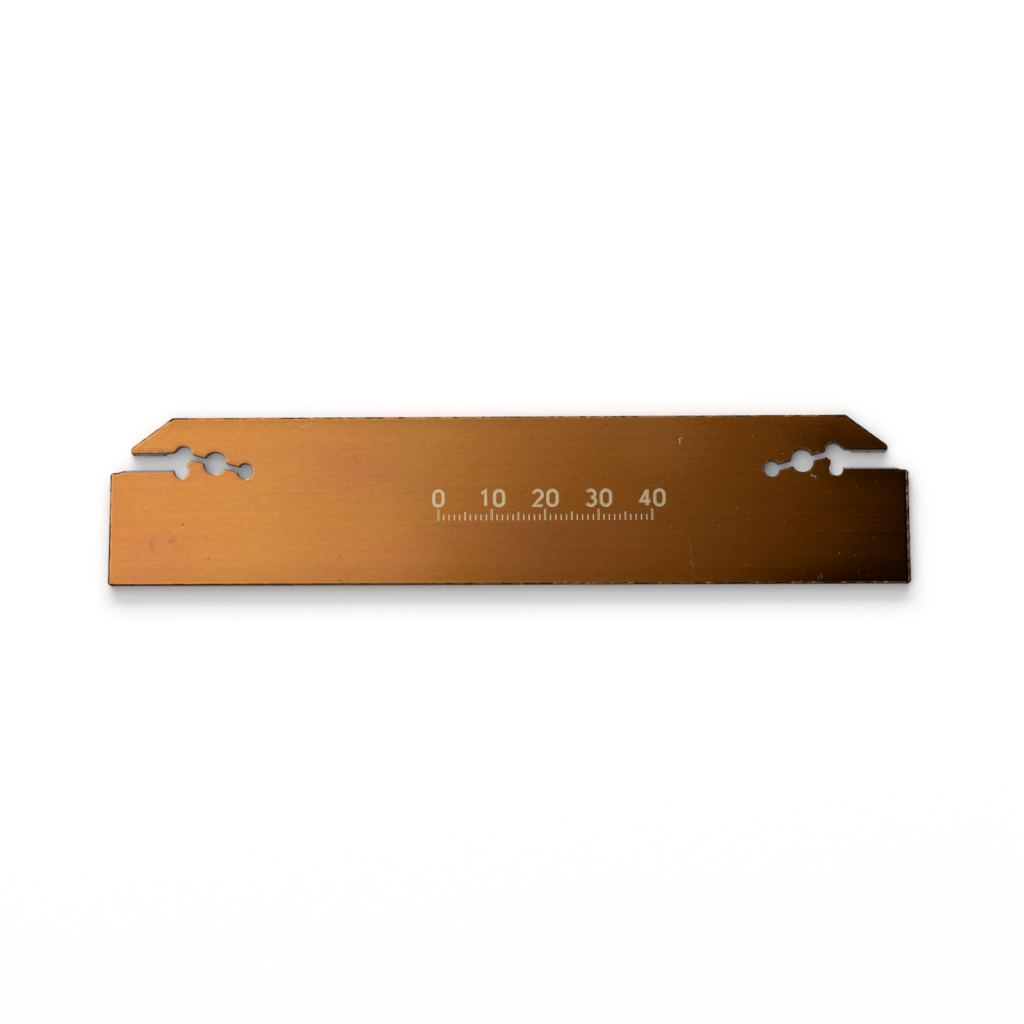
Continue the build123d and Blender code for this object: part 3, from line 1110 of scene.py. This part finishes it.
studio = {
    "horizonLevel": 0.288,     # of the tent, low down
    "tentLevel": 0.864,        # and higher up
    "tentRise": (0.10, 0.55),  # direction z at which it rises from one to the other
    "sideLevels": (-0.60, 0.60, 1.30, 0.60),   # direction x from where to where, and the levels there
    "glow": 0.80,              # more of it above the key light
    "glowRise": (0.30, 0.75),  # direction y over which it comes in
    "glowAbove": (0.25, 0.50),     # and direction z
    "overhead": (0.42, 0.70),  # how far from straight up the part overhead reaches
    "overheadAbove": (-0.05, 0.05),
    "overheadLevels": [        # by direction x: bright cloth on the left, a black card on the right
        (-0.19, 0.960), (-0.14, 0.928), (-0.11, 0.784), (-0.075, 0.632), (-0.042, 0.456), (-0.002, 0.312),
        (0.034, 0.240), (0.061, 0.188), (0.087, 0.140), (0.115, 0.080), (0.142, 0.008),
    ],
    "lean": 0.48,              # the card leans: the lower edge of the blade sees more of it
    "leanMiddle": 0.142,       # direction y about which it leans
    "leanFrom": (-0.16, 0.0),  # direction x over which the lean comes in
    "backdropLevel": 1.0,      # of what the camera sees beyond the floor
    "keyPower": 225.0,         # in watts
    "keyPlace": (-0.35, 4.00, 1.50),   # in metres, like its size
    "keySize": (5.40, 1.10),
}

viewpoint = {
    "aim": (0.00076, -0.002118, 0.0),  # in metres, like the distance
    "distance": 0.42,
    "pitch": 7.954,            # degrees, from straight above towards the lower edge
    "yaw": 1.452,
    "roll": -0.044,
    "lens": 78.57,
    "sensor": 36.0,
}


def makeFloor():
    half = floorLook["side"] / 2
    mesh = bpy.data.meshes.new("floor")
    level = -floorLook["gap"] * mm
    corners = [(-half, -half, level), (half, -half, level), (half, half, level), (-half, half, level)]
    mesh.from_pydata(corners, [], [(0, 1, 2, 3)])
    floor = addObject("floor", mesh)
    material, tree, socket = emptyMaterial("paleFloor")
    # Clear from below, and to the underside of the blade that lies on it
    fromBelow = addNode(tree, "ShaderNodeNewGeometry").outputs["Backfacing"]
    length = addNode(tree, "ShaderNodeLightPath").outputs["Ray Length"]
    touching = calc(tree, "LESS_THAN", length, floorLook["touching"] * mm)
    feedAll(tree, socket, {
        "Base Color": floorLook["colour"],
        "Roughness": floorLook["roughness"],
        "Specular IOR Level": floorLook["shine"],
        "Alpha": calc(tree, "SUBTRACT", 1.0, calc(tree, "MAXIMUM", fromBelow, touching)),
    })
    mesh.materials.append(material)


def levelsAlong(tree, value, levels):
    # Brightness by position, from pairs of position and level
    first, last = levels[0][0], levels[-1][0]
    highest = max(level for place, level in levels)
    node = addNode(tree, "ShaderNodeValToRGB", Fac=linearStep(tree, value, first, last))
    stops = node.color_ramp.elements
    for place, level in levels[1:-1]:
        stops.new((place - first) / (last - first))
    for stop, (place, level) in zip(stops, levels):
        stop.color = (level / highest,) * 3 + (1.0,)
    return product(tree, node.outputs[0], highest)


def tentLevel(tree, x, y, z):
    tent = smoothStep(tree, z, *studio["tentRise"], studio["horizonLevel"], studio["tentLevel"])
    glow = smoothStep(tree, y, *studio["glowRise"], 0.0, studio["glow"])
    tent = calc(tree, "ADD", tent, product(tree, glow, smoothStep(tree, z, *studio["glowAbove"])))
    tent = product(tree, tent, smoothStep(tree, x, *studio["sideLevels"]))
    # Only the part overhead is lit or shaded by the card: elsewhere the tent is even
    lean = product(tree, calc(tree, "SUBTRACT", studio["leanMiddle"], y), studio["lean"])
    lean = product(tree, lean, smoothStep(tree, x, *studio["leanFrom"]))
    card = levelsAlong(tree, calc(tree, "ADD", x, lean), studio["overheadLevels"])
    flat = calc(tree, "SQRT", calc(tree, "ADD", product(tree, x, x), product(tree, y, y)))
    overhead = product(tree, smoothStep(tree, flat, *studio["overhead"], 1.0, 0.0),
                       smoothStep(tree, z, *studio["overheadAbove"]))
    return mixValue(tree, overhead, tent, card)


def makeStudioTent():
    world = bpy.data.worlds.new("studioTent")
    bpy.context.scene.world = world
    world.use_nodes = True
    tree = world.node_tree
    tree.nodes.clear()
    x, y, z = axes(tree, addNode(tree, "ShaderNodeTexCoord").outputs["Generated"])
    toCamera = addNode(tree, "ShaderNodeLightPath").outputs["Is Camera Ray"]
    seen = mixValue(tree, toCamera, tentLevel(tree, x, y, z), studio["backdropLevel"])
    background = addNode(tree, "ShaderNodeBackground", Color=(1.0, 1.0, 1.0, 1.0), Strength=seen)
    out = addNode(tree, "ShaderNodeOutputWorld")
    tree.links.new(background.outputs[0], out.inputs["Surface"])


def makeKeyLight():
    data = bpy.data.lights.new("keyLight", "AREA")
    data.shape = "RECTANGLE"
    data.size, data.size_y = studio["keySize"]
    data.energy = studio["keyPower"]
    key = addObject("keyLight", data)
    key.location = studio["keyPlace"]
    key.rotation_euler = (-Vector(studio["keyPlace"])).to_track_quat("-Z", "Y").to_euler()
    key.visible_camera = False


def makeCamera():
    data = bpy.data.cameras.new("camera")
    data.lens = viewpoint["lens"]
    data.sensor_width = viewpoint["sensor"]
    camera = addObject("camera", data)
    turn = Matrix.Rotation(math.radians(viewpoint["yaw"]), 3, "Y")
    turn @= Matrix.Rotation(math.radians(viewpoint["pitch"]), 3, "X")
    turn @= Matrix.Rotation(math.radians(viewpoint["roll"]), 3, "Z")
    place = Vector(viewpoint["aim"]) + turn.col[2] * viewpoint["distance"]
    camera.matrix_world = Matrix.Translation(place) @ turn.to_4x4()
    bpy.context.scene.camera = camera


makeFloor()
makeStudioTent()
makeKeyLight()
makeCamera()
bpy.context.scene.view_settings.view_transform = "Standard"
print("floor, light and camera set")
